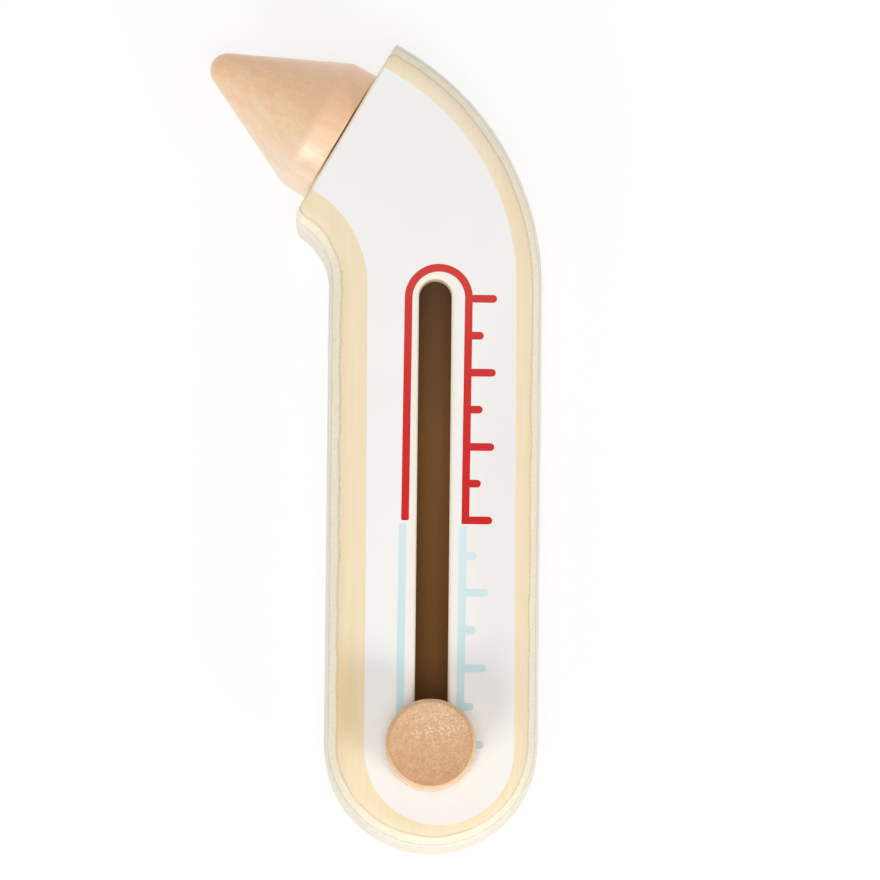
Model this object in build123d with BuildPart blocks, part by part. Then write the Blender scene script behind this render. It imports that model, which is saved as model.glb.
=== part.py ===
from build123d import *

import os
from math import acos, asin, atan2, cos, degrees, hypot, radians, sin, tan

# Toy ear thermometer: a bent handle laminated from four plywood boards, a turned probe
# cone dowelled to its angled end, and a round knob that slides in a slot along a scale.
#
# The toy lies on its back. X runs across the handle, Y runs up the handle towards the
# bent end, and Z comes out of the front face. The origin is on the back face, at the
# centre of the round bottom end. Lengths are in millimetres and angles in degrees.

# Handle: a bar, straight at first and then bent round to the left
handle_width = 36.0
straight_length = 76.6  # from the centre of the round bottom end to the start of the bend
bend_angle = 60.0
inner_bend_radius = 10.8
inner_bend_lag = 0.8  # how much further up the inside of the bend starts than the outside
end_run = 1.8  # how far past the full bend angle the end is cut
end_relief_angle = 45.0  # how sharply the rounding of the long edges runs off at the cut end
board_thickness = 6.0
edge_roundover = 3.8  # on the long edges of the front and the back
sawn_easing = 0.5  # small rounding of the front and back edges of the cut end
nib_radius = 2.75  # inner corner of the cut end, sanded round
nib_relief_radius = 4.5  # the same corner of the blank, no tighter than the edge's rounding

# Slot in the front board, and the wider track behind it
slot_start = -1.0  # height of the slot's lower end above the centre of the round bottom end
slot_travel = 76.3  # centre to centre of the slot's round ends
slot_easing = 0.6  # small rounding of the slot's front rim

# Slider: a knob on a peg, with a shoe in the track and a felt washer over the shoe
knob_diameter = 15.2
knob_height = 9.2
knob_edge_radius = 0.8
knob_gap = 0.4  # between the front face and the knob
knob_socket_depth = 5.0
peg_diameter = 5.0
shoe_diameter = 12.0
shoe_bevel = 0.5
washer_thickness = 0.8
washer_bore_gap = 0.1  # running fit of the peg in the washer

# Probe cone and its dowel
cone_diameter = 24.0
cone_length = 25.6
cone_offset = 0.3  # from the middle of the cut end towards the outside of the bend
cone_band = 4.8  # the almost straight band behind the taper
cone_band_taper = 0.15  # how much the band's radius drops along it
cone_shoulder_round = 3.0
cone_tip_radius = 3.0
cone_base_round = 0.3  # broken edge where the cone meets the handle
dowel_diameter = 8.0
dowel_length = 28.0
dowel_bevel = 0.6

# Fits
running_gap = 0.25  # round the peg in the slot, and round and under the shoe in the track
glue_gap = 0.05  # round a dowel or peg that is glued into its hole
seat_gap = 0.2  # open glue line between the cut end and the cone
hole_end_gap = 0.3  # between a glued dowel or peg and the bottom of its blind hole

# Heights of the boards, from the back face up
back_base = 0.0
floor_base = back_base + board_thickness
track_base = floor_base + board_thickness
front_base = track_base + board_thickness
front_face = front_base + board_thickness
mid_height = (back_base + front_face) / 2
easing_height = mid_height - sawn_easing  # of the easing's centres, from the middle

# The two arcs of the bend run on past its full angle until they meet the cut
half_width = handle_width / 2
bend_radius = inner_bend_radius + half_width
outer_bend_radius = inner_bend_radius + handle_width
outer_bend_centre = Vector(-bend_radius, straight_length)
inner_bend_centre = outer_bend_centre + Vector(0, inner_bend_lag)
inner_run = end_run - inner_bend_lag * cos(radians(bend_angle))
outer_bend_angle = bend_angle + degrees(asin(end_run / outer_bend_radius))
inner_bend_angle = bend_angle + degrees(asin(inner_run / inner_bend_radius))

# Middle of the cut end, and the peak of the round waste that the blank has beyond the cut
end_across = Vector(cos(radians(bend_angle)), sin(radians(bend_angle)))
end_normal = Vector(-sin(radians(bend_angle)), cos(radians(bend_angle)))
end_middle = outer_bend_centre + end_across * bend_radius + end_normal * end_run
waste_peak = end_middle + end_normal * half_width * tan(radians(end_relief_angle / 2))

# The cone's plane lies in the cut with its normal pointing out along the cone
end_centre = end_middle + Vector(0, 0, mid_height)
cone_centre = end_centre + end_across * cone_offset
end_plane = Plane(origin=cone_centre, x_dir=end_across, z_dir=end_normal)

slot_width = peg_diameter + 2 * running_gap
track_width = shoe_diameter + 2 * running_gap
slot_middle = (0, slot_start + slot_travel / 2)

# The cone's flank runs from its shoulder straight to the ball of its tip
cone_radius = cone_diameter / 2
shoulder_radius = cone_radius - cone_band_taper
tip_centre = cone_length - cone_tip_radius
flank_run = tip_centre - cone_band
tangent_angle = acos(cone_tip_radius / hypot(flank_run, shoulder_radius))
flank_angle = degrees(tangent_angle - atan2(flank_run, shoulder_radius))
dowel_bore_diameter = dowel_diameter + 2 * glue_gap
dowel_bore_depth = dowel_length / 2 + hole_end_gap

# The slider stands at the lower end of the slot, and its pieces are stacked on this plane
slider_plane = Plane(origin=(0, slot_start, 0))
shoe_base = track_base + running_gap
washer_base = front_base - washer_thickness
knob_base = front_face + knob_gap
peg_top = knob_base + knob_socket_depth - hole_end_gap
peg_bore_diameter = peg_diameter + 2 * glue_gap

# Sides of the handle in plan, from one corner of the cut end round to the other
with BuildLine() as sides:
    right_side = Line((half_width, 0), (half_width, straight_length))
    outer_bend = CenterArc(outer_bend_centre, outer_bend_radius, 0, outer_bend_angle)
    inner_bend = CenterArc(inner_bend_centre, inner_bend_radius, 0, inner_bend_angle)
    left_side = Line(inner_bend @ 0, (-half_width, 0))
    ThreePointArc(left_side @ 1, (0, -half_width), right_side @ 0)

# Plan of the finished handle, with the nib rounded
with BuildSketch() as outline:
    with BuildLine():
        add(sides.line)
        Line(outer_bend @ 1, inner_bend @ 1)
    make_face()
    fillet(outline.vertices().sort_by_distance(inner_bend @ 1)[0], nib_radius)

# Plan of the blank for the front and the back, whose edges are rounded before the end is cut
with BuildSketch() as blank:
    with BuildLine():
        add(sides.line)
        ThreePointArc(outer_bend @ 1, waste_peak, inner_bend @ 1)
    make_face()
    fillet(blank.vertices().sort_by_distance(inner_bend @ 1)[0], nib_relief_radius)

# Section of what is eased off the front and back edges of the cut end
with BuildSketch(Plane(origin=end_centre, x_dir=end_normal, z_dir=end_across)) as easing:
    with Locations((0, mid_height), (0, -mid_height)):
        Rectangle(2 * sawn_easing, 2 * sawn_easing)
    with Locations((-sawn_easing, easing_height), (-sawn_easing, -easing_height)):
        Circle(sawn_easing, mode=Mode.SUBTRACT)

os.makedirs("parts", exist_ok=True)

# Front board: rounded front edge and the slot, with an eased rim
with BuildPart() as front_board:
    with BuildSketch(Plane.XY.offset(front_base)):
        add(blank.sketch)
    extrude(amount=board_thickness)
    fillet(front_board.faces().sort_by(Axis.Z)[-1].edges(), edge_roundover)
    with BuildSketch(Plane.XY.offset(front_base)):
        add(outline.sketch)
    extrude(amount=board_thickness, mode=Mode.INTERSECT)
    extrude(easing.sketch, amount=half_width, both=True, mode=Mode.SUBTRACT)
    with BuildSketch(Plane.XY.offset(front_base)):
        with Locations(slot_middle):
            SlotCenterToCenter(slot_travel, slot_width, rotation=90)
    extrude(amount=board_thickness, mode=Mode.SUBTRACT)
    slot_rim = front_board.faces().sort_by(Axis.Z)[-1].inner_wires().edges()
    fillet(slot_rim, slot_easing)
front_board.part.label = "front_board"
export_step(front_board.part, "parts/front_board.step")

# Track board: the wider track for the shoe, and the front half of the dowel's bore
with BuildPart() as track_board:
    with BuildSketch(Plane.XY.offset(track_base)):
        add(outline.sketch)
        with Locations(slot_middle):
            SlotCenterToCenter(slot_travel, track_width, rotation=90, mode=Mode.SUBTRACT)
    extrude(amount=board_thickness)
    with BuildSketch(end_plane):
        Circle(dowel_bore_diameter / 2)
    extrude(amount=-dowel_bore_depth, mode=Mode.SUBTRACT)
track_board.part.label = "track_board"
export_step(track_board.part, "parts/track_board.step")

# Floor board: closes the track, and carries the back half of the dowel's bore
with BuildPart() as floor_board:
    with BuildSketch(Plane.XY.offset(floor_base)):
        add(outline.sketch)
    extrude(amount=board_thickness)
    with BuildSketch(end_plane):
        Circle(dowel_bore_diameter / 2)
    extrude(amount=-dowel_bore_depth, mode=Mode.SUBTRACT)
floor_board.part.label = "floor_board"
export_step(floor_board.part, "parts/floor_board.step")

# Back board: plain, with the same rounded edge as the front
with BuildPart() as back_board:
    with BuildSketch(Plane.XY.offset(back_base)):
        add(blank.sketch)
    extrude(amount=board_thickness)
    fillet(back_board.faces().sort_by(Axis.Z)[0].edges(), edge_roundover)
    with BuildSketch(Plane.XY.offset(back_base)):
        add(outline.sketch)
    extrude(amount=board_thickness, mode=Mode.INTERSECT)
    extrude(easing.sketch, amount=half_width, both=True, mode=Mode.SUBTRACT)
back_board.part.label = "back_board"
export_step(back_board.part, "parts/back_board.step")

# Probe cone: turned profile, drawn along its axis from its flat base, with a blind bore
cone_seat = cone_centre + end_normal * seat_gap
cone_plane = Plane(origin=cone_seat, x_dir=end_normal, z_dir=(0, 0, 1))
with BuildPart() as probe_cone:
    with BuildSketch(cone_plane) as cone_profile:
        with BuildLine():
            base = Line((0, 0), (0, cone_radius))
            band = Line(base @ 1, (cone_band, shoulder_radius))
            tip = CenterArc((tip_centre, 0), cone_tip_radius, 0, 90 - flank_angle)
            Line(band @ 1, tip @ 1)
            Line(base @ 0, tip @ 0)
        make_face()
        fillet(cone_profile.vertices().sort_by_distance(band @ 1)[0], cone_shoulder_round)
        fillet(cone_profile.vertices().sort_by_distance(base @ 1)[0], cone_base_round)
    revolve(axis=Axis(cone_centre, end_normal))
    with BuildSketch(end_plane):
        Circle(dowel_bore_diameter / 2)
    extrude(amount=dowel_bore_depth, mode=Mode.SUBTRACT)
probe_cone.part.label = "probe_cone"
export_step(probe_cone.part, "parts/probe_cone.step")

# Dowel: half of it in the cone and half in the handle
with BuildPart() as probe_dowel:
    with BuildSketch(end_plane.offset(-dowel_length / 2)):
        Circle(dowel_diameter / 2)
    extrude(amount=dowel_length)
    chamfer(probe_dowel.edges().filter_by(GeomType.CIRCLE), dowel_bevel)
probe_dowel.part.label = "probe_dowel"
export_step(probe_dowel.part, "parts/probe_dowel.step")

# Knob: a slice of round bar with broken edges, and a blind socket for the peg
with BuildPart() as slider_knob:
    with BuildSketch(slider_plane.offset(knob_base)):
        Circle(knob_diameter / 2)
    extrude(amount=knob_height)
    fillet(slider_knob.edges().filter_by(GeomType.CIRCLE), knob_edge_radius)
    with BuildSketch(slider_plane.offset(knob_base)):
        Circle(peg_bore_diameter / 2)
    extrude(amount=knob_socket_depth, mode=Mode.SUBTRACT)
slider_knob.part.label = "slider_knob"
export_step(slider_knob.part, "parts/slider_knob.step")

# Peg: runs from the shoe's underside through the washer and the slot into the knob
with BuildPart() as slider_peg:
    with BuildSketch(slider_plane.offset(shoe_base)):
        Circle(peg_diameter / 2)
    extrude(amount=peg_top - shoe_base)
slider_peg.part.label = "slider_peg"
export_step(slider_peg.part, "parts/slider_peg.step")

# Shoe: the disc on the peg that keeps the slider in its track
with BuildPart() as slider_shoe:
    with BuildSketch(slider_plane.offset(shoe_base)):
        Circle(shoe_diameter / 2)
    extrude(amount=washer_base - shoe_base)
    chamfer(slider_shoe.edges().filter_by(GeomType.CIRCLE), shoe_bevel)
    with BuildSketch(slider_plane.offset(shoe_base)):
        Circle(peg_bore_diameter / 2)
    extrude(amount=washer_base - shoe_base, mode=Mode.SUBTRACT)
slider_shoe.part.label = "slider_shoe"
export_step(slider_shoe.part, "parts/slider_shoe.step")

# Washer: felt between the shoe and the front board, which gives the slider its drag
with BuildPart() as slider_washer:
    with BuildSketch(slider_plane.offset(washer_base)):
        Circle(shoe_diameter / 2)
        Circle(peg_diameter / 2 + washer_bore_gap, mode=Mode.SUBTRACT)
    extrude(amount=washer_thickness)
slider_washer.part.label = "slider_washer"
export_step(slider_washer.part, "parts/slider_washer.step")
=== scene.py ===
# %% [markdown]
# # A toy ear thermometer in plywood and beech
# The handle is four boards of birch plywood, glued and sanded as one. A beech cone is
# dowelled to its sawn end, and a beech knob slides along a slot in its face beside a
# printed scale. The solids come from CAD and aren't changed here. This lesson gives each
# of them its real finish, and adds what is too thin for CAD: the paint and the two inks.

# %% Load the frame
import math

import bpy
import numpy as np
from mathutils import Matrix, Vector


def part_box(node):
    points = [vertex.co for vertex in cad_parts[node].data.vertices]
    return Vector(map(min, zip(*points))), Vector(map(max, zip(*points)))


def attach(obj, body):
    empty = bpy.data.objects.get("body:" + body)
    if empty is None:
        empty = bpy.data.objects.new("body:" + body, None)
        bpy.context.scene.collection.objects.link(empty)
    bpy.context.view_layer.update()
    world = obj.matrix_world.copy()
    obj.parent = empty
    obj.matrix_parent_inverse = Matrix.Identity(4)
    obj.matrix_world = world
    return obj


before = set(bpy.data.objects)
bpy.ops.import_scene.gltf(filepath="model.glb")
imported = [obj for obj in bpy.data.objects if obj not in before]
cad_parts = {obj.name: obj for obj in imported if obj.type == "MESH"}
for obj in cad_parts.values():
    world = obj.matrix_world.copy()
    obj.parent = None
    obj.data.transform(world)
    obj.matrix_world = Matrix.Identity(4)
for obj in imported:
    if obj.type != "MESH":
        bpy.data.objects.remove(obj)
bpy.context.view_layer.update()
MM = 0.001

# %% [markdown]
# ## The camera
# A small thing looks truest from far away through a long lens, which keeps its sides
# parallel. The camera hangs above the toy, leans a little towards its round end and is
# turned a little about its own axis. Its three directions are written straight into its
# matrix, because a matrix says all of that at once.

# %% Camera
LEAN, TURN = math.radians(4.5), math.radians(0.6)
PICTURE_WIDTH, PIXELS_PER_MM = 880, 5.93
DISTANCE, FRAME_WIDTH = 3.0, PICTURE_WIDTH / PIXELS_PER_MM * MM
SENSOR = 36.0
LOOK_AT = Vector((0, 60 * MM, 20.6 * MM))
MOVE_RIGHT, MOVE_DOWN = 0.94, 8.9

towards = Vector((0, -math.sin(LEAN), math.cos(LEAN)))
level = Vector((1, 0, 0))
upright = towards.cross(level)
right = level * math.cos(TURN) + upright * math.sin(TURN)
up = upright * math.cos(TURN) - level * math.sin(TURN)
aim = LOOK_AT + right * MOVE_RIGHT * MM - up * MOVE_DOWN * MM

lens = bpy.data.cameras.new("long_lens")
lens.sensor_width = SENSOR
lens.lens = SENSOR * DISTANCE / FRAME_WIDTH
camera = bpy.data.objects.new("camera", lens)
bpy.context.scene.collection.objects.link(camera)
place = Matrix((right, up, towards)).transposed().to_4x4()
place.translation = aim + towards * DISTANCE
camera.matrix_world = place
bpy.context.scene.camera = camera
print("lens mm", round(lens.lens, 1), "frame width mm", round(FRAME_WIDTH / MM, 1))

# %% [markdown]
# ## Colours and nodes
# A colour picked from a screen is in sRGB, and the shaders count in linear light. One
# function turns the first to the second. Another adds a node with its settings, its
# links and, on a colour ramp, its stops, so that each material below reads as a list of
# what it is made of. Sizes on the real thing are in millimetres, so the third gives a
# point's place in those.

# %% Helpers for materials
def linear(code):
    """An sRGB hex colour as linear RGBA: c / 12.92 up to 0.04045, ((c + 0.055) / 1.055) ^ 2.4
    above."""
    c = np.array([int(code[i:i + 2], 16) / 255 for i in (0, 2, 4)])
    c = np.where(c <= 0.04045, c / 12.92, ((c + 0.055) / 1.055) ** 2.4)
    return (*c.tolist(), 1.0)


def add(tree, kind, links, stops=(), **settings):
    """Adds one node. settings are its properties. links maps each input to a value, to an
    output that feeds it, or to a node whose first output does. stops are the (position, sRGB
    hex) pairs of a colour ramp, in rising order."""
    node = tree.nodes.new(kind)
    for name, value in settings.items():
        setattr(node, name, value)
    for name, value in links.items():
        if isinstance(value, bpy.types.Node):
            value = value.outputs[0]
        if isinstance(value, bpy.types.NodeSocket):
            tree.links.new(value, node.inputs[name])
        else:
            node.inputs[name].default_value = value
    for index, (position, code) in enumerate(stops):
        marks = node.color_ramp.elements
        mark = marks[index] if index < len(marks) else marks.new(1.0)
        mark.position, mark.color = position, linear(code)
    return node


def millimetres(tree, where):
    """Object coordinates, which are in metres, divided by MM."""
    return add(tree, "ShaderNodeVectorMath", {0: where, "Scale": 1 / MM}, operation="SCALE")


def start(name):
    """A new material and its node tree, emptied."""
    material = bpy.data.materials.new(name)
    material.use_nodes = True
    material.node_tree.nodes.clear()
    return material, material.node_tree


print("sRGB 808080 is", round(linear("808080")[0], 3), "of the way to white in linear light")

# %% [markdown]
# ## The light table
# The floor is a light table, a white sheet lit from below, which makes the toy's sides
# bright. What the camera sees of it is mostly its own white, and the rest is ordinary
# matt white that takes the toy's soft shadow. A brighter lamp would whiten the floor too,
# but it would bleach the wood. So the floor has two looks and a switch between them, which
# tells a ray that looks from a ray that only gathers light.

# %% Floor
FLOOR_HALF = 2.0
FLOOR_DROP = 0.05 * MM
SHOWN_GLOW, SHOWN_MATT = 0.76, "8C8C8C"
TABLE_LIGHT, TABLE_MATT = 0.35, "E0E0E0"
WHITE = linear("FFFFFF")


def seen_directly(tree):
    """1 where the camera, a reflection or glass looks at a surface, and 0 where it only gives
    light: the largest of the three rays' own switches."""
    path = add(tree, "ShaderNodeLightPath", {}).outputs
    seen = path["Is Camera Ray"]
    for ray in ("Is Glossy Ray", "Is Transmission Ray"):
        seen = add(tree, "ShaderNodeMath", {0: seen, 1: path[ray]}, operation="MAXIMUM")
    return seen


table, tree = start("white_table")
looks = []
for strength, code in ((TABLE_LIGHT, TABLE_MATT), (SHOWN_GLOW, SHOWN_MATT)):
    matt = add(tree, "ShaderNodeBsdfDiffuse", {"Color": linear(code)})
    glow = add(tree, "ShaderNodeEmission", {"Color": WHITE, "Strength": strength})
    looks.append(add(tree, "ShaderNodeAddShader", {0: matt, 1: glow}))
look = {"Fac": seen_directly(tree), 1: looks[0], 2: looks[1]}
look = add(tree, "ShaderNodeMixShader", look)
add(tree, "ShaderNodeOutputMaterial", {"Surface": look})

corner = FLOOR_HALF * np.array([[-1, -1], [1, -1], [1, 1], [-1, 1]])
corner = np.column_stack([corner, np.full(4, -FLOOR_DROP)])
mesh = bpy.data.meshes.new("floor")
mesh.from_pydata(corner.tolist(), [], [(0, 1, 2, 3)])
mesh.materials.append(table)
floor = bpy.data.objects.new("floor", mesh)
bpy.context.scene.collection.objects.link(floor)
print("floor", 2 * FLOOR_HALF, "m wide,", round(FLOOR_DROP / MM, 2), "mm below the toy")

# %% [markdown]
# ## The room
# The world is a dim room for the light, and plain white where a lens or a reflection looks
# at it, by the same switch. A picture of a real room could light the toy as well, but its
# windows would show in the lacquer, so plain grey light is used.

# %% World
ROOM_LIGHT, SHOWN_LIGHT = 0.35, 1.0

world = bpy.data.worlds.new("room")
world.use_nodes = True
tree = world.node_tree
tree.nodes.clear()
room = add(tree, "ShaderNodeBackground", {"Color": WHITE, "Strength": ROOM_LIGHT})
white = add(tree, "ShaderNodeBackground", {"Color": WHITE, "Strength": SHOWN_LIGHT})
look = add(tree, "ShaderNodeMixShader", {"Fac": seen_directly(tree), 1: room, 2: white})
add(tree, "ShaderNodeOutputWorld", {"Surface": look})
bpy.context.scene.world = world
bpy.context.scene.view_settings.view_transform = "Standard"
print("the room gives", ROOM_LIGHT, "of white as light and shows as", SHOWN_LIGHT)

# %% [markdown]
# ## The lamps
# Most of the light comes from a soft box overhead. Two more stand beside the round end,
# one each side, and shine up the handle: they throw the knob's two soft shadows and the
# bright patch on the cone. A weak one, low behind the bent end, lifts the shade there. It
# is kept out of reflections, because it would draw a streak along the cone.
#
# A lamp's share is how bright it makes a flat white sheet. With the room's light the
# shares add up to about 1, so that white comes out white. On a sheet, a lamp of power P at
# distance d gives P cos(a) / (pi d)^2, where a is its angle from upright, and that is
# solved for P.

# %% Lamps
MIDDLE = Vector((-8 * MM, 60 * MM, 12 * MM))
# Each lamp's direction from the middle, its distance and its size in metres, and its share
LAMPS = {
    "soft_box_above": ((0.00, -0.24, 0.97), 2.0, 0.70, 0.235),
    "soft_box_left": ((-0.44, -0.66, 0.61), 1.6, 0.62, 0.195),
    "soft_box_right": ((0.64, -0.54, 0.54), 1.6, 0.50, 0.18),
    "soft_box_behind": ((-0.15, 0.93, 0.35), 1.6, 0.60, 0.05),
}
for name, (direction, distance, size, share) in LAMPS.items():
    direction = Vector(direction).normalized()
    light = bpy.data.lights.new(name, "AREA")
    light.shape, light.size = "SQUARE", size
    light.energy = share * (math.pi * distance) ** 2 / direction.z
    lamp = bpy.data.objects.new(name, light)
    bpy.context.scene.collection.objects.link(lamp)
    lamp.location = MIDDLE + direction * distance
    lamp.rotation_euler = direction.to_track_quat("Z", "Y").to_euler()
    lamp.visible_glossy = name != "soft_box_behind"
    print(name, round(light.energy, 2), "W at", [round(v, 2) for v in lamp.location])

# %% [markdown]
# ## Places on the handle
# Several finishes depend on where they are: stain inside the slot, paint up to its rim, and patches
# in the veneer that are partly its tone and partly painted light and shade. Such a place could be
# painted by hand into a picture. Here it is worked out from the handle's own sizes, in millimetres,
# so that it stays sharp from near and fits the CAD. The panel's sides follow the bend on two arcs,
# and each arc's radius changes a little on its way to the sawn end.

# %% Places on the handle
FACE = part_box("front_board")[1].z / MM
SLOT_ENDS = (-1.0, 75.3)
BEND_MIDDLE, BEND_ANGLE, END_RUN = (-28.8, 76.6), 60.0, 1.28
# The panel's radii where the bend begins and at the sawn end, for its inner side (-1) and
# its outer side (1)
BEND_RADII = {-1: (17.35, 18.2), 1: (42.5, 42.1)}
PATCH_FULL = 0.2


def from_slot(tree, mm):
    """How far a point lies in plan from the slot's middle line: the length of (x, y - y'),
    where y' is y kept between SLOT_ENDS."""
    x, y, _ = add(tree, "ShaderNodeSeparateXYZ", {"Vector": mm}).outputs
    on_line = {"Value": y, "Min": SLOT_ENDS[0], "Max": SLOT_ENDS[1]}
    on_line = add(tree, "ShaderNodeClamp", on_line)
    past = add(tree, "ShaderNodeMath", {0: y, 1: on_line}, operation="SUBTRACT")
    away = add(tree, "ShaderNodeCombineXYZ", {"X": x, "Y": past})
    return add(tree, "ShaderNodeVectorMath", {0: away}, operation="LENGTH").outputs["Value"]


def around(tree, mm, middle, size):
    """An oval patch in plan. With r the length of (point - middle) / size, it is 1 up to
    PATCH_FULL and falls smoothly to 0 at r = 1."""
    off = {0: mm, 1: (*middle, 0.0)}
    off = add(tree, "ShaderNodeVectorMath", off, operation="SUBTRACT")
    off = {0: off, 1: (1 / size[0], 1 / size[1], 0.0)}
    off = add(tree, "ShaderNodeVectorMath", off, operation="MULTIPLY")
    r = add(tree, "ShaderNodeVectorMath", {0: off}, operation="LENGTH").outputs["Value"]
    fade = {"Value": r, "From Min": PATCH_FULL, "From Max": 1.0, "To Min": 1.0, "To Max": 0.0}
    return add(tree, "ShaderNodeMapRange", fade, interpolation_type="SMOOTHSTEP")


print("face at", round(FACE, 2), "mm, slot", SLOT_ENDS[1] - SLOT_ENDS[0], "mm between middles")

# %% [markdown]
# ## Brown stain
# The floor that shows through the slot is stained brown, with fine streaks along the grain. A
# colour ramp runs along the slot and makes it darker towards both ends, and yellower at the low
# end. The darker ends are painted shade, where the slot's end and the knob shade the floor. A coat
# like this is a mask and a colour, which the plywood below lays over its wood.

# %% Stain
STAIN_RUN = (14.5, 75.5)
# Tones of the stain along the slot. Its darker ends are painted shade
STAIN_AND_SHADE_TONES = [(0.0, "8D5B1E"), (0.62, "9A6A35"), (1.0, "815934")]
STREAK_WIDE, STREAK_LONG, STREAK_RANGE = 0.35, 14.0, (0.95, 1.05)


def stain_and_slot_shade(tree, mm, flat):
    """Brown stain on every face that lies flat: its mask, 1 where flat is above a half, and its
    colour, a ramp along Y times a streaked noise. The ramp's darker ends are painted shade."""
    fit = {"Vector": mm, "Scale": (1 / STREAK_WIDE, 1 / STREAK_LONG, 1 / STREAK_WIDE)}
    fit = add(tree, "ShaderNodeMapping", fit)
    streak = add(tree, "ShaderNodeTexNoise", {"Vector": fit, "Scale": 1.0, "Detail": 3.0})
    streak = {"Value": streak, "To Min": STREAK_RANGE[0], "To Max": STREAK_RANGE[1]}
    streak = add(tree, "ShaderNodeMapRange", streak)
    y = add(tree, "ShaderNodeSeparateXYZ", {"Vector": mm}).outputs["Y"]
    along = {"Value": y, "From Min": STAIN_RUN[0], "From Max": STAIN_RUN[1]}
    along = add(tree, "ShaderNodeMapRange", along)
    stain = add(tree, "ShaderNodeValToRGB", {"Fac": along}, STAIN_AND_SHADE_TONES)
    stain = add(tree, "ShaderNodeVectorMath", {0: stain, "Scale": streak}, operation="SCALE")
    return add(tree, "ShaderNodeMath", {0: flat, 1: 0.5}, operation="GREATER_THAN"), stain


print("stain runs over", STAIN_RUN[1] - STAIN_RUN[0], "mm in", len(STAIN_AND_SHADE_TONES), "tones")

# %% [markdown]
# ## Paint over the edges
# The front's white paint runs a little way over two edges, the slot's rounded rim and the
# eased sawn end, and stops there in an uneven border. The film of paint that is made later
# lies only on the flat face. Bending it over the rim would take a far finer mesh, so the
# board's own material carries the paint on from there, as a coat.

# %% Paint over the edges
WARM_WHITE = "F6EEE0"
RIM_NEAR, RIM_DEEP, END_DEEP, END_BAND = 3.5, 0.45, 0.10, 0.2
BORDER_WAVE, BORDER_ROUGH, BORDER_SOFT = 1.6, 0.12, 0.04


def paint_edges(tree, mm, flat):
    """The mask and colour of paint that runs over an edge: 1 where z, roughened by noise, is
    above the face less RIM_DEEP or END_DEEP, softly, near the slot, or past the sawn end's
    edge and between the panel's sides. past and across are the parts of (point - bend's
    middle) square to the sawn end and along it. Every coat is given flat, and this one has
    no need of it."""
    z = add(tree, "ShaderNodeSeparateXYZ", {"Vector": mm}).outputs["Z"]
    rough = {"Vector": mm, "Scale": 1 / BORDER_WAVE, "Detail": 3.0}
    rough = add(tree, "ShaderNodeTexNoise", rough)
    rough = {"Value": rough, "To Min": -BORDER_ROUGH, "To Max": BORDER_ROUGH}
    rough = add(tree, "ShaderNodeMapRange", rough)
    height = add(tree, "ShaderNodeMath", {0: z, 1: rough}, operation="ADD")

    off = {0: mm, 1: (*BEND_MIDDLE, 0.0)}
    off = add(tree, "ShaderNodeVectorMath", off, operation="SUBTRACT")
    sine, cosine = math.sin(math.radians(BEND_ANGLE)), math.cos(math.radians(BEND_ANGLE))
    past = {0: off, 1: (-sine, cosine, 0.0)}
    past = add(tree, "ShaderNodeVectorMath", past, operation="DOT_PRODUCT").outputs["Value"]
    past = {0: past, 1: END_RUN - END_BAND}
    past = add(tree, "ShaderNodeMath", past, operation="GREATER_THAN")
    across = {0: off, 1: (cosine, sine, 0.0)}
    across = add(tree, "ShaderNodeVectorMath", across, operation="DOT_PRODUCT").outputs["Value"]
    inside, outside = BEND_RADII[-1][1], BEND_RADII[1][1]
    between = {0: across, 1: (inside + outside) / 2, 2: (outside - inside) / 2}
    between = add(tree, "ShaderNodeMath", between, operation="COMPARE")
    near = {0: from_slot(tree, mm), 1: RIM_NEAR}
    near = add(tree, "ShaderNodeMath", near, operation="LESS_THAN")

    mask = 0.0
    for place, limit, deep in ((near, 1.0, RIM_DEEP), (past, between, END_DEEP)):
        over = {"Value": height, "From Min": FACE - deep - BORDER_SOFT,
                "From Max": FACE - deep + BORDER_SOFT}
        over = add(tree, "ShaderNodeMapRange", over)
        for factor in (place, limit):
            over = add(tree, "ShaderNodeMath", {0: over, 1: factor}, operation="MULTIPLY")
        mask = add(tree, "ShaderNodeMath", {0: mask, 1: over}, operation="MAXIMUM")
    return mask, linear(WARM_WHITE)


print("paint runs", RIM_DEEP, "mm down the slot's rim and", END_DEEP, "mm down the sawn end")

# %% [markdown]
# ## The plywood's sheets
# Plywood is thin sheets of birch, glued with the grain of each across the last. Where an
# edge is rounded over, the cut goes down through the sheets, and their glue shows as fine
# lines that follow the edge. Lines drawn on the surface would have to be fitted round
# each corner. Here the sheets are worked out from the depth in the board, so the pattern
# is solid and meets itself everywhere. The sheets sway a little, and the face sheet is
# sanded thinner on the left.

# %% Sheets and glue lines
BOARD = 6.0
FACE_SHEET, NEXT_SHEET = 0.56, 1.2
GLUE_FILMS = (FACE_SHEET, FACE_SHEET + NEXT_SHEET)
SHEET_SLOPE, SWAY, SWAY_LONG = 0.008, 0.22, 6.0
# A real film of glue is some hundredths of a millimetre thick, too fine to show, so it is
# drawn this thick on either side of its middle
GLUE_HALF, GLUE_COLOUR = 0.05, "B9A888"


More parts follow.
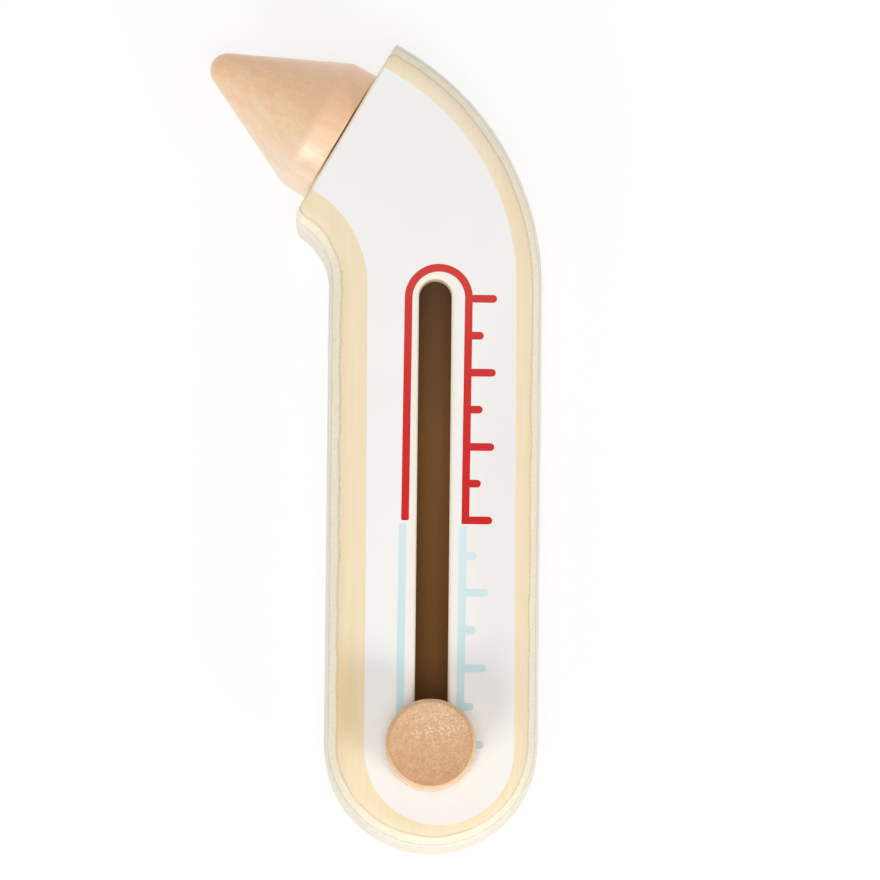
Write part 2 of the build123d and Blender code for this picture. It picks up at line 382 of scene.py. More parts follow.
def sheet_depth(tree, mm):
    """How deep a point lies below the nearer face of its board, t / 2 - |z mod t - t / 2| in
    a board t thick, and the same with the sheets' slope and sway added."""
    x, _, z = add(tree, "ShaderNodeSeparateXYZ", {"Vector": mm}).outputs
    off = add(tree, "ShaderNodeMath", {0: z, 1: BOARD, 2: 0.0}, operation="WRAP")
    off = add(tree, "ShaderNodeMath", {0: off, 1: BOARD / 2}, operation="SUBTRACT")
    off = add(tree, "ShaderNodeMath", {0: off}, operation="ABSOLUTE")
    depth = add(tree, "ShaderNodeMath", {0: BOARD / 2, 1: off}, operation="SUBTRACT")
    sway = {"Vector": mm, "Scale": 1 / SWAY_LONG, "Detail": 3.0}
    sway = add(tree, "ShaderNodeTexNoise", sway)
    sway = add(tree, "ShaderNodeMapRange", {"Value": sway, "To Min": -SWAY, "To Max": SWAY})
    slope = {0: x, 1: -SHEET_SLOPE, 2: sway}
    slope = add(tree, "ShaderNodeMath", slope, operation="MULTIPLY_ADD")
    return depth, add(tree, "ShaderNodeMath", {0: depth, 1: slope}, operation="ADD")


def glue_lines(tree, levels, breaks):
    """Where a level passes its film of glue: 1 within GLUE_HALF, falling to 0 at three times
    that, for the nearest film, times a noise that breaks the lines up."""
    lines = 0.0
    for level, film_at in levels:
        off = add(tree, "ShaderNodeMath", {0: level, 1: film_at}, operation="SUBTRACT")
        off = add(tree, "ShaderNodeMath", {0: off}, operation="ABSOLUTE")
        seam = {"Value": off, "From Min": GLUE_HALF, "From Max": 3 * GLUE_HALF,
                "To Min": 1.0, "To Max": 0.0}
        seam = add(tree, "ShaderNodeMapRange", seam)
        lines = add(tree, "ShaderNodeMath", {0: lines, 1: seam}, operation="MAXIMUM")
    broken = {"Value": breaks, "From Min": 0.3, "From Max": 0.6, "To Min": 0.15, "To Max": 0.5}
    broken = add(tree, "ShaderNodeMapRange", broken)
    return add(tree, "ShaderNodeMath", {0: lines, 1: broken}, operation="MULTIPLY")


print("glue at", GLUE_FILMS, "mm from each face of a board", BOARD, "mm thick")

# %% [markdown]
# ## The face sheet
# The face shows one sheet, pale and faintly streaked. A warm, darker patch low on the left is
# partly the veneer's tone and partly painted shade, where the knob's shadow falls. A paler one
# round the bend is painted light. A scan of real veneer would do it too, but would need a picture
# file. Stretched noise gives the soft bands, and an oval for each patch sets it where it is wanted.

# %% Face sheet
TONE_WIDE, TONE_LONG = 1.6, 9.0
FACE_TONES = [(0.34, "EDDDB5"), (0.48, "F0DEBA"), (0.62, "F3DDBD")]
# Each patch's middle and its size from there to its border, in millimetres, and its colour. The
# first is partly painted shade and the second is painted light
SHADE_AND_LIGHT_PATCHES = [((-15.0, 7.0), (5.0, 14.5), "ECD1A5"), ((2.0, 104.0), (22.0, 20.0), "F2E1C5")]


def face_sheet(tree, mm):
    """The colour of a face sheet: a ramp over noise that is stretched along Y, with each of
    SHADE_AND_LIGHT_PATCHES mixed in by how far a point lies inside it."""
    fit = {"Vector": mm, "Scale": (1 / TONE_WIDE, 1 / TONE_LONG, 1 / TONE_WIDE)}
    fit = add(tree, "ShaderNodeMapping", fit)
    tone = add(tree, "ShaderNodeTexNoise", {"Vector": fit, "Scale": 1.0, "Detail": 2.0})
    face = add(tree, "ShaderNodeValToRGB", {"Fac": tone}, FACE_TONES)
    for middle, size, tint in SHADE_AND_LIGHT_PATCHES:
        face = {"Factor": around(tree, mm, middle, size), "A": face, "B": linear(tint)}
        face = add(tree, "ShaderNodeMix", face, data_type="RGBA").outputs["Result"]
    return face


print(len(FACE_TONES), "tones in bands", TONE_WIDE, "by", TONE_LONG, "mm,", len(SHADE_AND_LIGHT_PATCHES), "patches")

# %% [markdown]
# ## Birch plywood
# Sanded birch under a thin satin lacquer looks pale cream, with fine streaks and hardly
# any pores. Its second sheet is cut across its fibres at the long edges, and the core
# along them, where it shows greyer. One material does for all four boards, since the depth
# tells it which sheet to show, and a board may add its coat.

# %% Birch plywood
# Birch fibres are some hundredths of a millimetre wide, too fine to show, so they are drawn
# as bundles this wide
FIBRE_WIDE, FIBRE_LONG, FIBRE_DEEP = 0.45, 22.0, 0.03
FIBRE_RANGE = (0.972, 1.02)
SECOND_TONES = [(0.30, "EFE2C7"), (0.60, "F7ECD5")]
CORE_TONES = [(0.30, "E4DCCE"), (0.65, "F0E9DD")]
SATIN = 0.5


def birch_plywood(name, coat=None, ior=1.5):
    """Sanded birch plywood, satin: the sheet that a point's depth falls in, times fine streaks,
    with the glue lines and then the coat mixed in."""
    material, tree = start(name)
    where = add(tree, "ShaderNodeTexCoord", {}).outputs
    mm = millimetres(tree, where["Object"])
    flat = add(tree, "ShaderNodeSeparateXYZ", {"Vector": where["Normal"]}).outputs["Z"]
    flat = add(tree, "ShaderNodeMath", {0: flat}, operation="ABSOLUTE")
    depth, swayed = sheet_depth(tree, mm)

    fibres = {}
    for lie, axis in (("along", 1), ("across", 0)):
        scale = [1 / FIBRE_WIDE] * 3
        scale[axis] = 1 / FIBRE_LONG
        fit = add(tree, "ShaderNodeMapping", {"Vector": mm, "Scale": scale})
        noise = {"Vector": fit, "Scale": 1.0, "Detail": 3.0}
        fibres[lie] = add(tree, "ShaderNodeTexNoise", noise)

    wood = face_sheet(tree, mm)
    second = add(tree, "ShaderNodeValToRGB", {"Fac": fibres["across"]}, SECOND_TONES)
    core = add(tree, "ShaderNodeValToRGB", {"Fac": fibres["along"]}, CORE_TONES)
    for film_at, sheet in zip(GLUE_FILMS, (second, core)):
        below = {0: swayed, 1: film_at}
        below = add(tree, "ShaderNodeMath", below, operation="GREATER_THAN")
        wood = {"Factor": below, "A": wood, "B": sheet}
        wood = add(tree, "ShaderNodeMix", wood, data_type="RGBA").outputs["Result"]
    streak = {"Value": fibres["along"], "From Min": 0.3, "From Max": 0.7,
              "To Min": FIBRE_RANGE[0], "To Max": FIBRE_RANGE[1]}
    streak = add(tree, "ShaderNodeMapRange", streak)
    wood = add(tree, "ShaderNodeVectorMath", {0: wood, "Scale": streak}, operation="SCALE")

    # Two boards meet where the depth is 0. Adding flat leaves that line off the flat faces
    joint = add(tree, "ShaderNodeMath", {0: flat, 1: depth}, operation="ADD")
    levels = [(joint, 0.0), (swayed, GLUE_FILMS[0]), (swayed, GLUE_FILMS[1])]
    lines = glue_lines(tree, levels, fibres["across"])
    layers = [(lines, linear(GLUE_COLOUR))]
    if coat:
        layers.append(coat(tree, mm, flat))
    for mask, tint in layers:
        wood = {"Factor": mask, "A": wood, "B": tint}
        wood = add(tree, "ShaderNodeMix", wood, data_type="RGBA").outputs["Result"]

    bump = {"Height": fibres["along"], "Distance": FIBRE_DEEP * MM, "Strength": 0.5}
    bump = add(tree, "ShaderNodeBump", bump)
    shader = {"Base Color": wood, "Roughness": SATIN, "IOR": ior, "Normal": bump}
    shader = add(tree, "ShaderNodeBsdfPrincipled", shader)
    add(tree, "ShaderNodeOutputMaterial", {"Surface": shader})
    return material


print("fibres drawn", FIBRE_WIDE, "mm wide and", FIBRE_DEEP, "mm deep")

# %% [markdown]
# ## The four boards
# The two inner boards are plain, the front one carries paint on its edges, and the one
# that closes the slot is stained. A lower IOR keeps that one dull, as bare stained wood
# is. A material could be given face by face, but a coat already knows its own place, so
# every slot of a board takes the same one.

# %% Dress the boards
BARE_WOOD_IOR = 1.3


def dress(material, *names):
    """Puts a material in every slot of the named CAD nodes. Their meshes stay as they are."""
    for name in names:
        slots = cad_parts[name].material_slots
        for slot in slots:
            slot.material = material
        print(name, "takes", material.name, "in", len(slots), "slot(s)")


dress(birch_plywood("birch_plywood"), "track_board", "back_board")
dress(birch_plywood("painted_plywood", paint_edges), "front_board")
dress(birch_plywood("stained_plywood", stain_and_slot_shade, BARE_WOOD_IOR), "floor_board")

# %% [markdown]
# ## The grain of beech
# Beech is pinkish tan, with fine pores and short dark flecks along its grain, and rays
# that show as pale specks on a sawn end. A picture wrapped round a turned piece would show
# a seam. Solid noise that is stretched along the grain gives streaks on the sides and dots
# on the ends by itself, as sawing the real wood does.

# %% Grain of beech
# How wide and how long each pattern is, in millimetres, and its detail. Beech's fibres,
# pores and rays are under a tenth of a millimetre wide, too fine to show, so they are drawn
# as coarse as this
GRAIN = {"cloud": (1.8, 26.0, 2.0), "fibre": (0.5, 9.0, 3.0),
         "pore": (0.3, 1.6, 2.0), "ray": (0.36, 2.2, 4.0)}


def beech_grain(tree, along):
    """One noise for each pattern in GRAIN, on coordinates divided by its width in X and Y and
    by its length in Z."""
    grain = {}
    for part, (wide, long, detail) in GRAIN.items():
        fit = {"Vector": along, "Scale": (1 / wide, 1 / wide, 1 / long)}
        noise = {"Vector": add(tree, "ShaderNodeMapping", fit), "Scale": 1.0, "Detail": detail}
        grain[part] = add(tree, "ShaderNodeTexNoise", noise)
    return grain


print("grain patterns, wide and long:", {part: size[:2] for part, size in GRAIN.items()})

# %% [markdown]
# ## Turned beech
# A turned piece is smooth and faintly glossy along its grain, and dull where it is cut
# across. So nearly everything about it is some value, such as how squarely a face looks
# along the grain, spread from one range to another. Those spreads stand in a table, and
# each mark on the wood is a product of a few of them. A Mapping node turns each piece's
# grain to lie along local Z, so that one material does for all.

# %% Beech
END_FROM, END_FULL = 0.80, 0.95
# The oval where the rays show brightest on the knob's top, partly painted glints: its middle and
# its size
GLINT_FLECKS_AT, GLINT_FLECKS_SIZE = (0.8, 2.2), (7.5, 5.5)
GRAIN_DEEP, LACQUER_ROUGH = 0.04, 0.27
# The colour of each mark, and the spreads that its strength is the product of: pale rays, brightest
# in one oval where they are partly painted glints, and dark pores, then the worn edge of a flat end
# and painted light on one side of a wall
MARKS = [("F2D6B2", ("ray", "end", "clear", "cluster")), ("9C6C48", ("pore", "pore_shows")),
         ("A8744A", ("edge", "edge_shows")), ("FBD9A8", ("lit_side", "wall"))]


def beech(name, turn, tones, lit_span, flecks, mottle, roughness, lacquer=0.0, rim_light=0.0):
    """Turned beech with its grain along Z after the given turn. tones are its colours across local
    X, from the first position of the span given to the second, and the way they change across it is
    painted light. flecks and mottle say how strongly the pores darken the sides, and the pores and
    rays speckle the ends. roughness is that of the sides and of the ends, lacquer the weight of a
    coat, and rim_light how much painted light pales the sides at the span's first end. The colour
    is a ramp over 0.6 cloud + shade, times the streaks, with each mark mixed in."""
    material, tree = start(name)
    where = add(tree, "ShaderNodeTexCoord", {}).outputs
    mm = millimetres(tree, where["Object"])
    along = add(tree, "ShaderNodeMapping", {"Vector": mm, "Rotation": turn})
    side = add(tree, "ShaderNodeSeparateXYZ", {"Vector": along}).outputs["X"]
    facing = {"Vector": where["Normal"], "Rotation": turn}
    facing = add(tree, "ShaderNodeMapping", facing, vector_type="NORMAL")
    facing = add(tree, "ShaderNodeSeparateXYZ", {"Vector": facing}).outputs["Z"]
    facing = add(tree, "ShaderNodeMath", {0: facing}, operation="ABSOLUTE")
    grain = beech_grain(tree, along)

    spread = {}
    for part, value, low, high, first, last in (
            # shade runs the tone across local X: painted light on one side
            ("shade", side, lit_span[0], lit_span[1], -0.3, 0.7),
            ("streak", grain["fibre"], 0.3, 0.7, 0.96, 1.03),
            ("rough", facing, END_FROM, END_FULL, *roughness),
            ("end", facing, END_FROM, END_FULL, 0.0, 1.0),
            ("ray", grain["ray"], 0.44, 0.60, 0.0, mottle),
            ("cluster", grain["cloud"], 0.36, 0.54, 0.45, 1.0),
            # clear brightens the rays in one oval: partly painted glints
            ("clear", around(tree, mm, GLINT_FLECKS_AT, GLINT_FLECKS_SIZE), 0.0, 1.0, 0.35, 1.15),
            ("pore", grain["pore"], 0.60, 0.72, 0.0, 1.0),
            ("pore_shows", facing, END_FROM, END_FULL, flecks, mottle),
            ("edge", facing, 0.999, 0.97, 0.0, 1.0),
            ("edge_shows", facing, END_FROM, END_FULL, 0.0, 0.5 * mottle),
            # lit_side pales one side of a wall: painted light
            ("lit_side", side, lit_span[1] - 4.6, lit_span[0] + 5.6, 0.0, rim_light),
            ("wall", facing, 0.975, 0.86, 0.0, 1.0)):
        limits = {"Value": value, "From Min": low, "From Max": high,
                  "To Min": first, "To Max": last}
        spread[part] = add(tree, "ShaderNodeMapRange", limits)

    tone = {0: grain["cloud"], 1: 0.6, 2: spread["shade"]}
    tone = add(tree, "ShaderNodeMath", tone, operation="MULTIPLY_ADD")
    wood = add(tree, "ShaderNodeValToRGB", {"Fac": tone}, tones)
    wood = {0: wood, "Scale": spread["streak"]}
    wood = add(tree, "ShaderNodeVectorMath", wood, operation="SCALE")
    for tint, parts in MARKS:
        strength = 1.0
        for part in parts:
            strength = {0: strength, 1: spread[part]}
            strength = add(tree, "ShaderNodeMath", strength, operation="MULTIPLY")
        wood = {"Factor": strength, "A": wood, "B": linear(tint)}
        wood = add(tree, "ShaderNodeMix", wood, data_type="RGBA").outputs["Result"]

    height = {"Factor": spread["end"], "A": grain["fibre"], "B": grain["pore"]}
    height = add(tree, "ShaderNodeMix", height).outputs["Result"]
    bump = {"Height": height, "Distance": GRAIN_DEEP * MM, "Strength": 0.4}
    bump = add(tree, "ShaderNodeBump", bump)
    shader = {"Base Color": wood, "Roughness": spread["rough"], "IOR": 1.5, "Normal": bump,
              "Coat Weight": lacquer, "Coat Roughness": LACQUER_ROUGH}
    shader = add(tree, "ShaderNodeBsdfPrincipled", shader)
    add(tree, "ShaderNodeOutputMaterial", {"Surface": shader})
    return material


print("marks on beech:", [parts[0] for tint, parts in MARKS])

# %% [markdown]
# ## The cone
# The cone's grain runs through it from base to tip. A thin lacquer shows the lamps on it as soft
# bright patches. Its colour deepens from one side to the other, and the paler side is painted
# light, where the flank faces the lamps. The dowel takes the same wood.

# %% Cone
CONE_TURN = (math.radians(90), math.radians(60), 0.0)
# Paler at the first end of the span, on the flank that faces the lamps: painted light
CONE_TONES = [(0.0, "F8E0C6"), (0.35, "F6D0A8"), (0.6, "F2C398"), (1.0, "F6C9A5")]
CONE_LIT_SPAN, CONE_ROUGH = (69.0, 93.0), (0.45, 0.5)

cone_wood = beech("turned_beech", CONE_TURN, CONE_TONES, CONE_LIT_SPAN, flecks=0.12, mottle=0.15,
                  roughness=CONE_ROUGH, lacquer=0.65)
dress(cone_wood, "probe_cone", "probe_dowel")

# %% [markdown]
# ## The knob
# The knob is a slice sawn off a round bar, so its flat top is end grain: dull, browner and speckled
# by pale rays, with a worn dark edge. The rays show brightest in an oval off its middle, partly as
# painted glints, and the top turns paler towards one side as painted light. Its wall is side grain,
# smoother, and painted lighter on one side. It could take the cone's wood with another turn, but
# end grain drinks more oil and needs its own browner tones.

# %% Knob
KNOB_TURN = (0.0, 0.0, math.radians(-105))
# The top turns paler along the span as painted light, and rim_light pales the wall on one side,
# also painted light
KNOB_TONES = [(0.0, "C8966A"), (0.5, "D1A377"), (1.0, "DBB088")]
KNOB_LIT_SPAN, KNOB_ROUGH = (-8.6, 6.6), (0.24, 0.6)

knob_wood = beech("end_grain_beech", KNOB_TURN, KNOB_TONES, KNOB_LIT_SPAN, flecks=0.2, mottle=0.7,
                  roughness=KNOB_ROUGH, rim_light=0.6)
dress(knob_wood, "slider_knob", "slider_peg", "slider_shoe")

# %% [markdown]
# ## Wool felt
# A thin felt washer sits under the front board and makes the knob stay where it is put.
# Felt is matted wool: no shine, a faint sheen at its edges, and a fine cloudy surface.
# Real fibres would be thousands of curves on a piece that is nearly hidden, so a noise as
# wide as a tuft gives both its colour and its bumps.

# %% Felt
TUFT, TUFT_DEEP = 0.6, 0.1
FELT_TONES = [(0.35, "B9B4AA"), (0.65, "DAD6CC")]


def wool_felt(name):
    """Pressed wool felt: matt, pale grey, cloudy at the size of a tuft."""
    material, tree = start(name)
    where = add(tree, "ShaderNodeTexCoord", {}).outputs["Object"]
    tuft = {"Vector": where, "Scale": 1 / (TUFT * MM), "Detail": 4.0}
    tuft = add(tree, "ShaderNodeTexNoise", tuft)
    colour = add(tree, "ShaderNodeValToRGB", {"Fac": tuft}, FELT_TONES)
    bump = add(tree, "ShaderNodeBump", {"Height": tuft, "Distance": TUFT_DEEP * MM})
    shader = {"Base Color": colour, "Roughness": 0.95, "Sheen Weight": 0.3, "Normal": bump}
    shader = add(tree, "ShaderNodeBsdfPrincipled", shader)
    add(tree, "ShaderNodeOutputMaterial", {"Surface": shader})
    return material


dress(wool_felt("wool_felt"), "slider_washer")

# %% [markdown]
# ## Thin films
# The white panel and the inks are films a few hundredths of a millimetre thick, laid on
# the face of the front board. A colour in the board's own material would have no edge that
# catches the light, and a bare sheet would show its back. So each film is a flat grid of
# corners that is worked out from a formula, then raised to a closed slab.

# %% Films
def film(name, grids, low, high, material):
    """Closes flat grids into one slab from height low to high: the top, the same turned over
    below, and a wall along each edge that only one face uses. Corners at the same place are
    made one first, and a face whose area comes out below zero is turned the right way."""
    points, faces, start_at = [], [], 0
    for flat in grids:
        rows, columns = flat.shape[:2]
        index = start_at + np.arange(rows * columns).reshape(rows, columns)
        ring = [index[:-1, :-1], index[:-1, 1:], index[1:, 1:], index[1:, :-1]]
        faces.append(np.stack(ring, -1).reshape(-1, 4))
        points.append(flat.reshape(-1, 2))
        start_at += rows * columns
    points, faces = np.concatenate(points), np.concatenate(faces)
    keys, back = np.unique(np.round(points, 4), axis=0, return_inverse=True)
    faces = back.reshape(-1)[faces]
    corners = keys[faces]
    turned = np.roll(corners, -1, 1)
    area = (corners[..., 0] * turned[..., 1] - corners[..., 1] * turned[..., 0]).sum(1)
    faces[area < 0] = faces[area < 0, ::-1]
    a, b = faces, np.roll(faces, -1, 1)
    count = len(keys)
    edge = ~np.isin(a * count + b, b * count + a)
    a, b = a[edge], b[edge]
    walls = np.column_stack([a + count, b + count, b, a])
    every = np.concatenate([faces, faces[:, ::-1] + count, walls])
    levels = [np.column_stack([keys, np.full(count, z)]) for z in (high, low)]
    mesh = bpy.data.meshes.new(name)
    mesh.from_pydata((np.concatenate(levels) * MM).tolist(), [], every.tolist())
    mesh.materials.append(material)
    piece = bpy.data.objects.new(name, mesh)
    bpy.context.scene.collection.objects.link(piece)
    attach(piece, "handle")
    microns = round((high - low) * 1000)
    print(name, count, "corners,", len(every), "faces,", microns, "microns thick")


print("films lie on the face, at", round(FACE, 2), "mm")

# %% [markdown]
# ## Lines in plan
# Each outline of a film is made of straight lines and arcs. They could be curves, but a
# curve can't be matched point by point with its neighbour. So each is an array of points,
# and two lines with the same count make the two sides of a grid.

# %% Lines in plan
def arc(middle, radius, first, last, steps):
    """middle + radius (cos a, sin a), for even steps of a from first to last, in degrees
    anticlockwise from +X. The radius is one number, or one for each point."""
    angle = np.radians(np.linspace(first, last, steps))
    spokes = np.column_stack([np.cos(angle), np.sin(angle)])
    return np.array(middle) + spokes * np.reshape(radius, (-1, 1))


def line(first, last, steps):
    """Points in even steps along a straight line."""
    return np.linspace(first, last, steps)


def grid(*rows):
    """Matched lines of points, (n, 2) each, side by side as one (n, lines, 2) grid."""
    return np.stack(rows, axis=1)


print("a quarter of a circle:", arc((0, 0), 1.0, 0, 90, 3).round(2).tolist())

# %% [markdown]
# ## The white panel's shape
# A stencil leaves a band of bare plywood all round, wider on the left. The panel has a
# round end below, straight sides, and two arcs above that follow the bend to the sawn
# end. It goes round the slot, so it is made as two halves that meet above and below it:
# each is a grid between its outer edge and the slot's rim or the middle of the bend.

# %% Shape of the white panel
FOOT_MIDDLE, FOOT_RADIUS = (1.45, -1.55), 12.6
RIM_RADIUS = 3.35
# Points along the foot's quarter circle, the straight side, the slot's top and the bend,
# and lines from the outer edge to the inner one
ROUND, SIDE, CAP, BEND, ACROSS = 25, 40, 13, 49, 5


def bend_side(first_radius, last_radius, first):
    """An edge round the bend, from a first angle to the sawn end. Its radius goes from r1 to r2
    as r1 + (r2 - r1) t^2, where t runs from 0 to 1."""
    t = np.linspace(0, 1, BEND)
    radius = first_radius + (last_radius - first_radius) * t ** 2
    last = BEND_ANGLE + math.degrees(math.asin(END_RUN / last_radius))
    return arc(BEND_MIDDLE, radius, first, last, BEND)


def half(side):
    """One half of the panel, side -1 or +1: outer (1 - t) + inner t, where t runs from 0 to 1.
    outer is its outer edge, and inner is the slot's rim and then the middle of the bend."""
    turn = 90 * side
    first_radius, last_radius = BEND_RADII[side]
    foot = (FOOT_MIDDLE[0] + side * FOOT_RADIUS, FOOT_MIDDLE[1])
    shoulder = (BEND_MIDDLE[0] + first_radius, SLOT_ENDS[1])
    above_slot = np.array([0, SLOT_ENDS[1] + RIM_RADIUS]) - BEND_MIDDLE
    middle_radius = np.hypot(*above_slot)
    rise = math.degrees(math.atan2(above_slot[1], above_slot[0]))
    bend = bend_side(first_radius, last_radius, rise)
    outer = np.concatenate([
        arc(FOOT_MIDDLE, FOOT_RADIUS, -90, -90 + turn, ROUND),
        line(foot, shoulder, SIDE)[1:],
        line(shoulder, bend[0], CAP)[1:],
        bend[1:]])
    low, high = [(side * RIM_RADIUS, y) for y in SLOT_ENDS]
    inner = np.concatenate([
        arc((0, SLOT_ENDS[0]), RIM_RADIUS, -90, -90 + turn, ROUND),
        line(low, high, SIDE)[1:],
        arc((0, SLOT_ENDS[1]), RIM_RADIUS, 90 - turn, 90, CAP)[1:],
        bend_side(middle_radius, -BEND_MIDDLE[0], rise)[1:]])
    t = np.linspace(0, 1, ACROSS)[:, None, None]
    return grid(*(outer * (1 - t) + inner * t))


print("panel", 2 * FOOT_RADIUS, "mm wide at its foot, rim", 2 * RIM_RADIUS, "mm wide")

# %% [markdown]
# ## Sprayed paint
# Water-based toy paint dries to an even, nearly matt white with the faintest cloud in it.
# Beside the slot it is thinner and the wood warms it. Along the right an oval of painted shade
# makes it a little greyer. Its high roughness keeps it from shining. A plain white would look like
# plastic, so noise as fine as the spray's own texture breaks up what shine it has.

# %% White panel
PAINT = 0.03
PAINT_TONES = [(0.30, "F2F0EE"), (0.70, "F5F3F0")]
CLOUD, PEEL, PEEL_DEEP = 18.0, 0.5, 0.01
# An oval of painted shade on the panel's right: its middle and size in millimetres, and its grey
GREYER_AT, GREYER_SIZE, GREYER = (12.0, 38.0), (9.0, 50.0), "F0EBE9"
# Distances from the slot's middle line where the paint is thinnest and full
THIN_FROM, THIN_TO, THIN_SHARE = 3.3, 4.1, 0.8


def sprayed_paint(name):
    """White water-based paint, sprayed and flat, satin: a ramp over wide noise, with an oval of
    painted shade on the right mixed in, and then the thin band beside the slot."""
    material, tree = start(name)
    where = add(tree, "ShaderNodeTexCoord", {}).outputs["Object"]
    mm = millimetres(tree, where)
    cloud = {"Vector": where, "Scale": 1 / (CLOUD * MM), "Detail": 2.0}
    cloud = add(tree, "ShaderNodeTexNoise", cloud)
    colour = add(tree, "ShaderNodeValToRGB", {"Fac": cloud}, PAINT_TONES)
    thin = {"Value": from_slot(tree, mm), "From Min": THIN_FROM, "From Max": THIN_TO,
            "To Min": THIN_SHARE, "To Max": 0.0}
    thin = add(tree, "ShaderNodeMapRange", thin)
    greyer = around(tree, mm, GREYER_AT, GREYER_SIZE)
    for share, tint in ((greyer, GREYER), (thin, WARM_WHITE)):
        colour = {"Factor": share, "A": colour, "B": linear(tint)}
        colour = add(tree, "ShaderNodeMix", colour, data_type="RGBA").outputs["Result"]
    peel = {"Vector": where, "Scale": 1 / (PEEL * MM), "Detail": 2.0}
    peel = add(tree, "ShaderNodeTexNoise", peel)
    bump = {"Height": peel, "Distance": PEEL_DEEP * MM, "Strength": 0.5}
    bump = add(tree, "ShaderNodeBump", bump)
    shader = {"Base Color": colour, "Roughness": 0.75, "IOR": 1.45, "Normal": bump}
    shader = add(tree, "ShaderNodeBsdfPrincipled", shader)
    add(tree, "ShaderNodeOutputMaterial", {"Surface": shader})
    return material


paint = sprayed_paint("sprayed_white_paint")
film("white_panel", [half(-1), half(1)], FACE, FACE + PAINT, paint)

# %% [markdown]
# ## Strokes
# Every line of the scale is a stroke, a path with a width, because that keeps all of them
# equally wide, arch and ticks alike. Near a stroke's end its width shrinks as a circle's
# does, which rounds its corners.

# %% Strokes
STROKE = 0.65
CAP_FROM, CAP_STEPS = 8, 7
PRINT_LEAN, LEAN_FROM_Y = math.tan(math.radians(0.33)), 37.0


def ends(path, first_round, last_round):
    """Points and half-widths for a stroke. Within a corner radius r of an end, at the distance
    r (1 - cos a) from it, the half-width is what it lacks of r plus r sin a. A radius of 0
    leaves the end square."""
    caps = []
    for points, r in ((path, first_round), (path[::-1], last_round)):
        inward = (points[1] - points[0]) / np.linalg.norm(points[1] - points[0])
        a = np.radians(np.linspace(CAP_FROM, 90, CAP_STEPS if r else 1))[:, None]
        caps.append((points[0] + inward * (r * (1 - np.cos(a))), STROKE - r + r * np.sin(a)))
    (first, first_width), (last, last_width) = caps
    run = path[1:-1]
    run_width = np.full((len(run), 1), STROKE)
    points = np.concatenate([first, run, last[::-1]])
    return points, np.concatenate([first_width, run_width, last_width[::-1]])


def stroke(path, first_round=0.0, last_round=0.0):
    """A flat ribbon: each point of the path moved half a width to either side, square to the
    path. The whole print leans a little, x + (y - y0) tan(a), as the screen lay on the board."""
    path = np.array(path, float)
    path[:, 0] += (path[:, 1] - LEAN_FROM_Y) * PRINT_LEAN
    points, widths = ends(path, first_round, last_round)
    way = np.gradient(points, axis=0)
    way /= np.linalg.norm(way, axis=1)[:, None]
    across = np.column_stack([way[:, 1], -way[:, 0]]) * widths
    return grid(points - across, points, points + across)


print("strokes", 2 * STROKE, "mm wide, corners rounded in", CAP_STEPS, "steps")

# %% [markdown]
# ## The two inks
# Screen ink is opaque and lies flat, with a dull satin face and a slight unevenness from the
# screen's mesh. It is thinner at one end of each scale, where it shows paler. A colour ramp along
# the scale gives that, and noise as wide as a few threads of the mesh the rest. On the blue scale
# the ramp also darkens the ink towards the knob, as painted shade of the knob. Its IOR is a little
# lower than a varnish's, because a stronger reflection would pale it.

# %% Inks
INK_CLOUD, INK_RANGE = 2.2, (0.95, 1.04)
RED_TONES = [(0.0, "D23E36"), (0.45, "CF2C29"), (1.0, "D01A1A")]
# The blue's darker end lies by the knob: partly the ink, partly painted shade
BLUE_TONES_AND_SHADE = [(0.0, "DBECEE"), (0.5, "D0E7EA"), (1.0, "C5E2E6")]


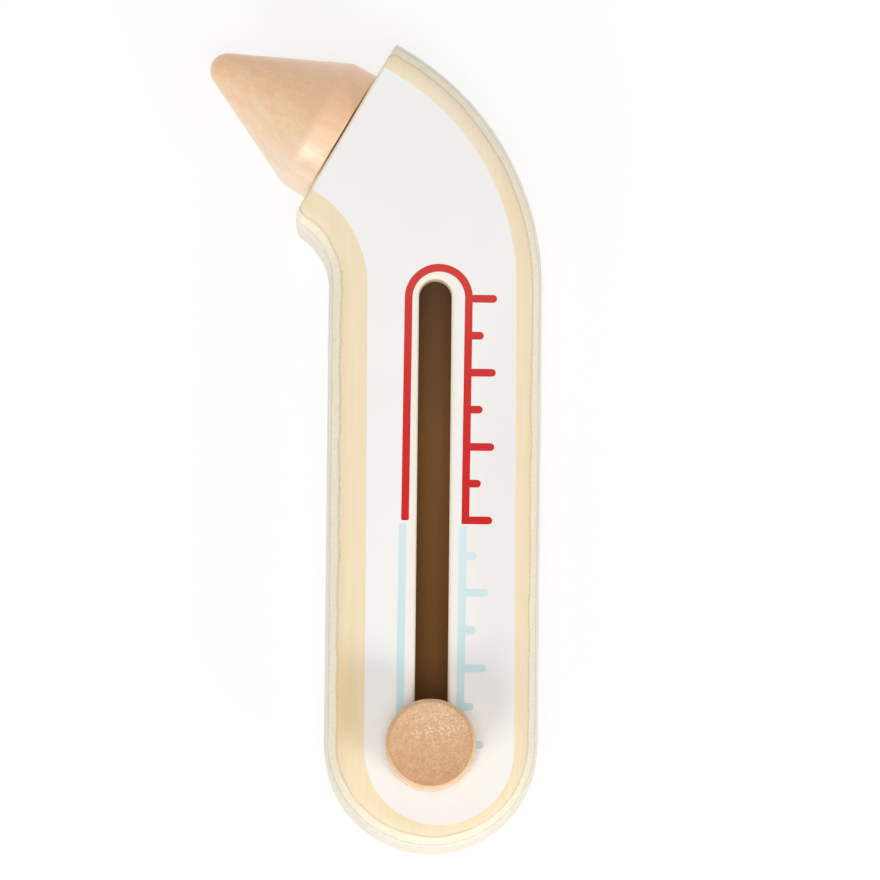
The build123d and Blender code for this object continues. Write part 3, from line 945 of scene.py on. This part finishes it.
def printing_ink(name, first, last, tones):
    """Opaque screen ink, dull satin: a ramp from one height of the scale to another, in
    millimetres, times a slight noise."""
    material, tree = start(name)
    where = add(tree, "ShaderNodeTexCoord", {}).outputs["Object"]
    y = add(tree, "ShaderNodeSeparateXYZ", {"Vector": where}).outputs["Y"]
    down = {"Value": y, "From Min": first * MM, "From Max": last * MM}
    down = add(tree, "ShaderNodeMapRange", down)
    colour = add(tree, "ShaderNodeValToRGB", {"Fac": down}, tones)
    cloud = {"Vector": where, "Scale": 1 / (INK_CLOUD * MM), "Detail": 3.0}
    cloud = add(tree, "ShaderNodeTexNoise", cloud)
    cloud = {"Value": cloud, "To Min": INK_RANGE[0], "To Max": INK_RANGE[1]}
    cloud = add(tree, "ShaderNodeMapRange", cloud)
    colour = add(tree, "ShaderNodeVectorMath", {0: colour, "Scale": cloud}, operation="SCALE")
    shader = {"Base Color": colour, "Roughness": 0.8, "IOR": 1.4}
    shader = add(tree, "ShaderNodeBsdfPrincipled", shader)
    add(tree, "ShaderNodeOutputMaterial", {"Surface": shader})
    return material


print("red goes over", len(RED_TONES), "tones and blue over", len(BLUE_TONES_AND_SHADE))

# %% [markdown]
# ## The printed scale
# A red arch goes over the upper part of the slot and a pale blue one round the lower part,
# each with ticks along its right leg, long and short by turns. They could be one print,
# but each ink is a pass of its own, so each is a film of its own. Both are made by one
# function from their sizes.

# %% Printed scale
LEG = 5.08
ARCH_STEPS = 49
TICK_START = 0.5
INK = 0.02
RED_TICKS = [(74.75, 10.2), (68.5, 8.05), (62.25, 10.15), (56.0, 8.05), (49.7, 10.1),
             (43.5, 7.95), (37.3, 9.95)]
BLUE_TICKS = [(31.3, 7.4), (25.05, 9.5), (18.75, 7.45), (12.35, 9.3), (5.85, 7.3), (-0.6, 9.15)]


def scale(x, arch_y, last_angle, leg_ends, ticks, first_round=0.0):
    """The strokes of one ink: along the left leg, half round the slot's end and back along the
    right leg, then a tick outwards for each (height, reach)."""
    left, right = x - LEG, x + LEG
    step = math.copysign(1.0, arch_y - leg_ends[0])
    path = np.concatenate([
        [(left, leg_ends[0]), (left, leg_ends[0] + step)],
        arc((x, arch_y), LEG, 180, last_angle, ARCH_STEPS),
        [(right, leg_ends[1])]])
    edge = right + STROKE
    strokes = [stroke(path, first_round)]
    for y, reach in ticks:
        strokes.append(stroke([(edge, y), (edge + TICK_START, y), (reach, y)], last_round=STROKE))
    return strokes


low, high = FACE + PAINT, FACE + PAINT + INK
red = scale(0.36, 74.85, 0, (37.2, 36.65), RED_TICKS, first_round=0.3)
film("red_scale", red, low, high, printing_ink("red_ink", 80, 37, RED_TONES))
blue = scale(0.0, -1.0, 360, (36.7, 36.2), BLUE_TICKS)
film("blue_scale", blue, low, high, printing_ink("pale_blue_ink", 37, 0, BLUE_TONES_AND_SHADE))
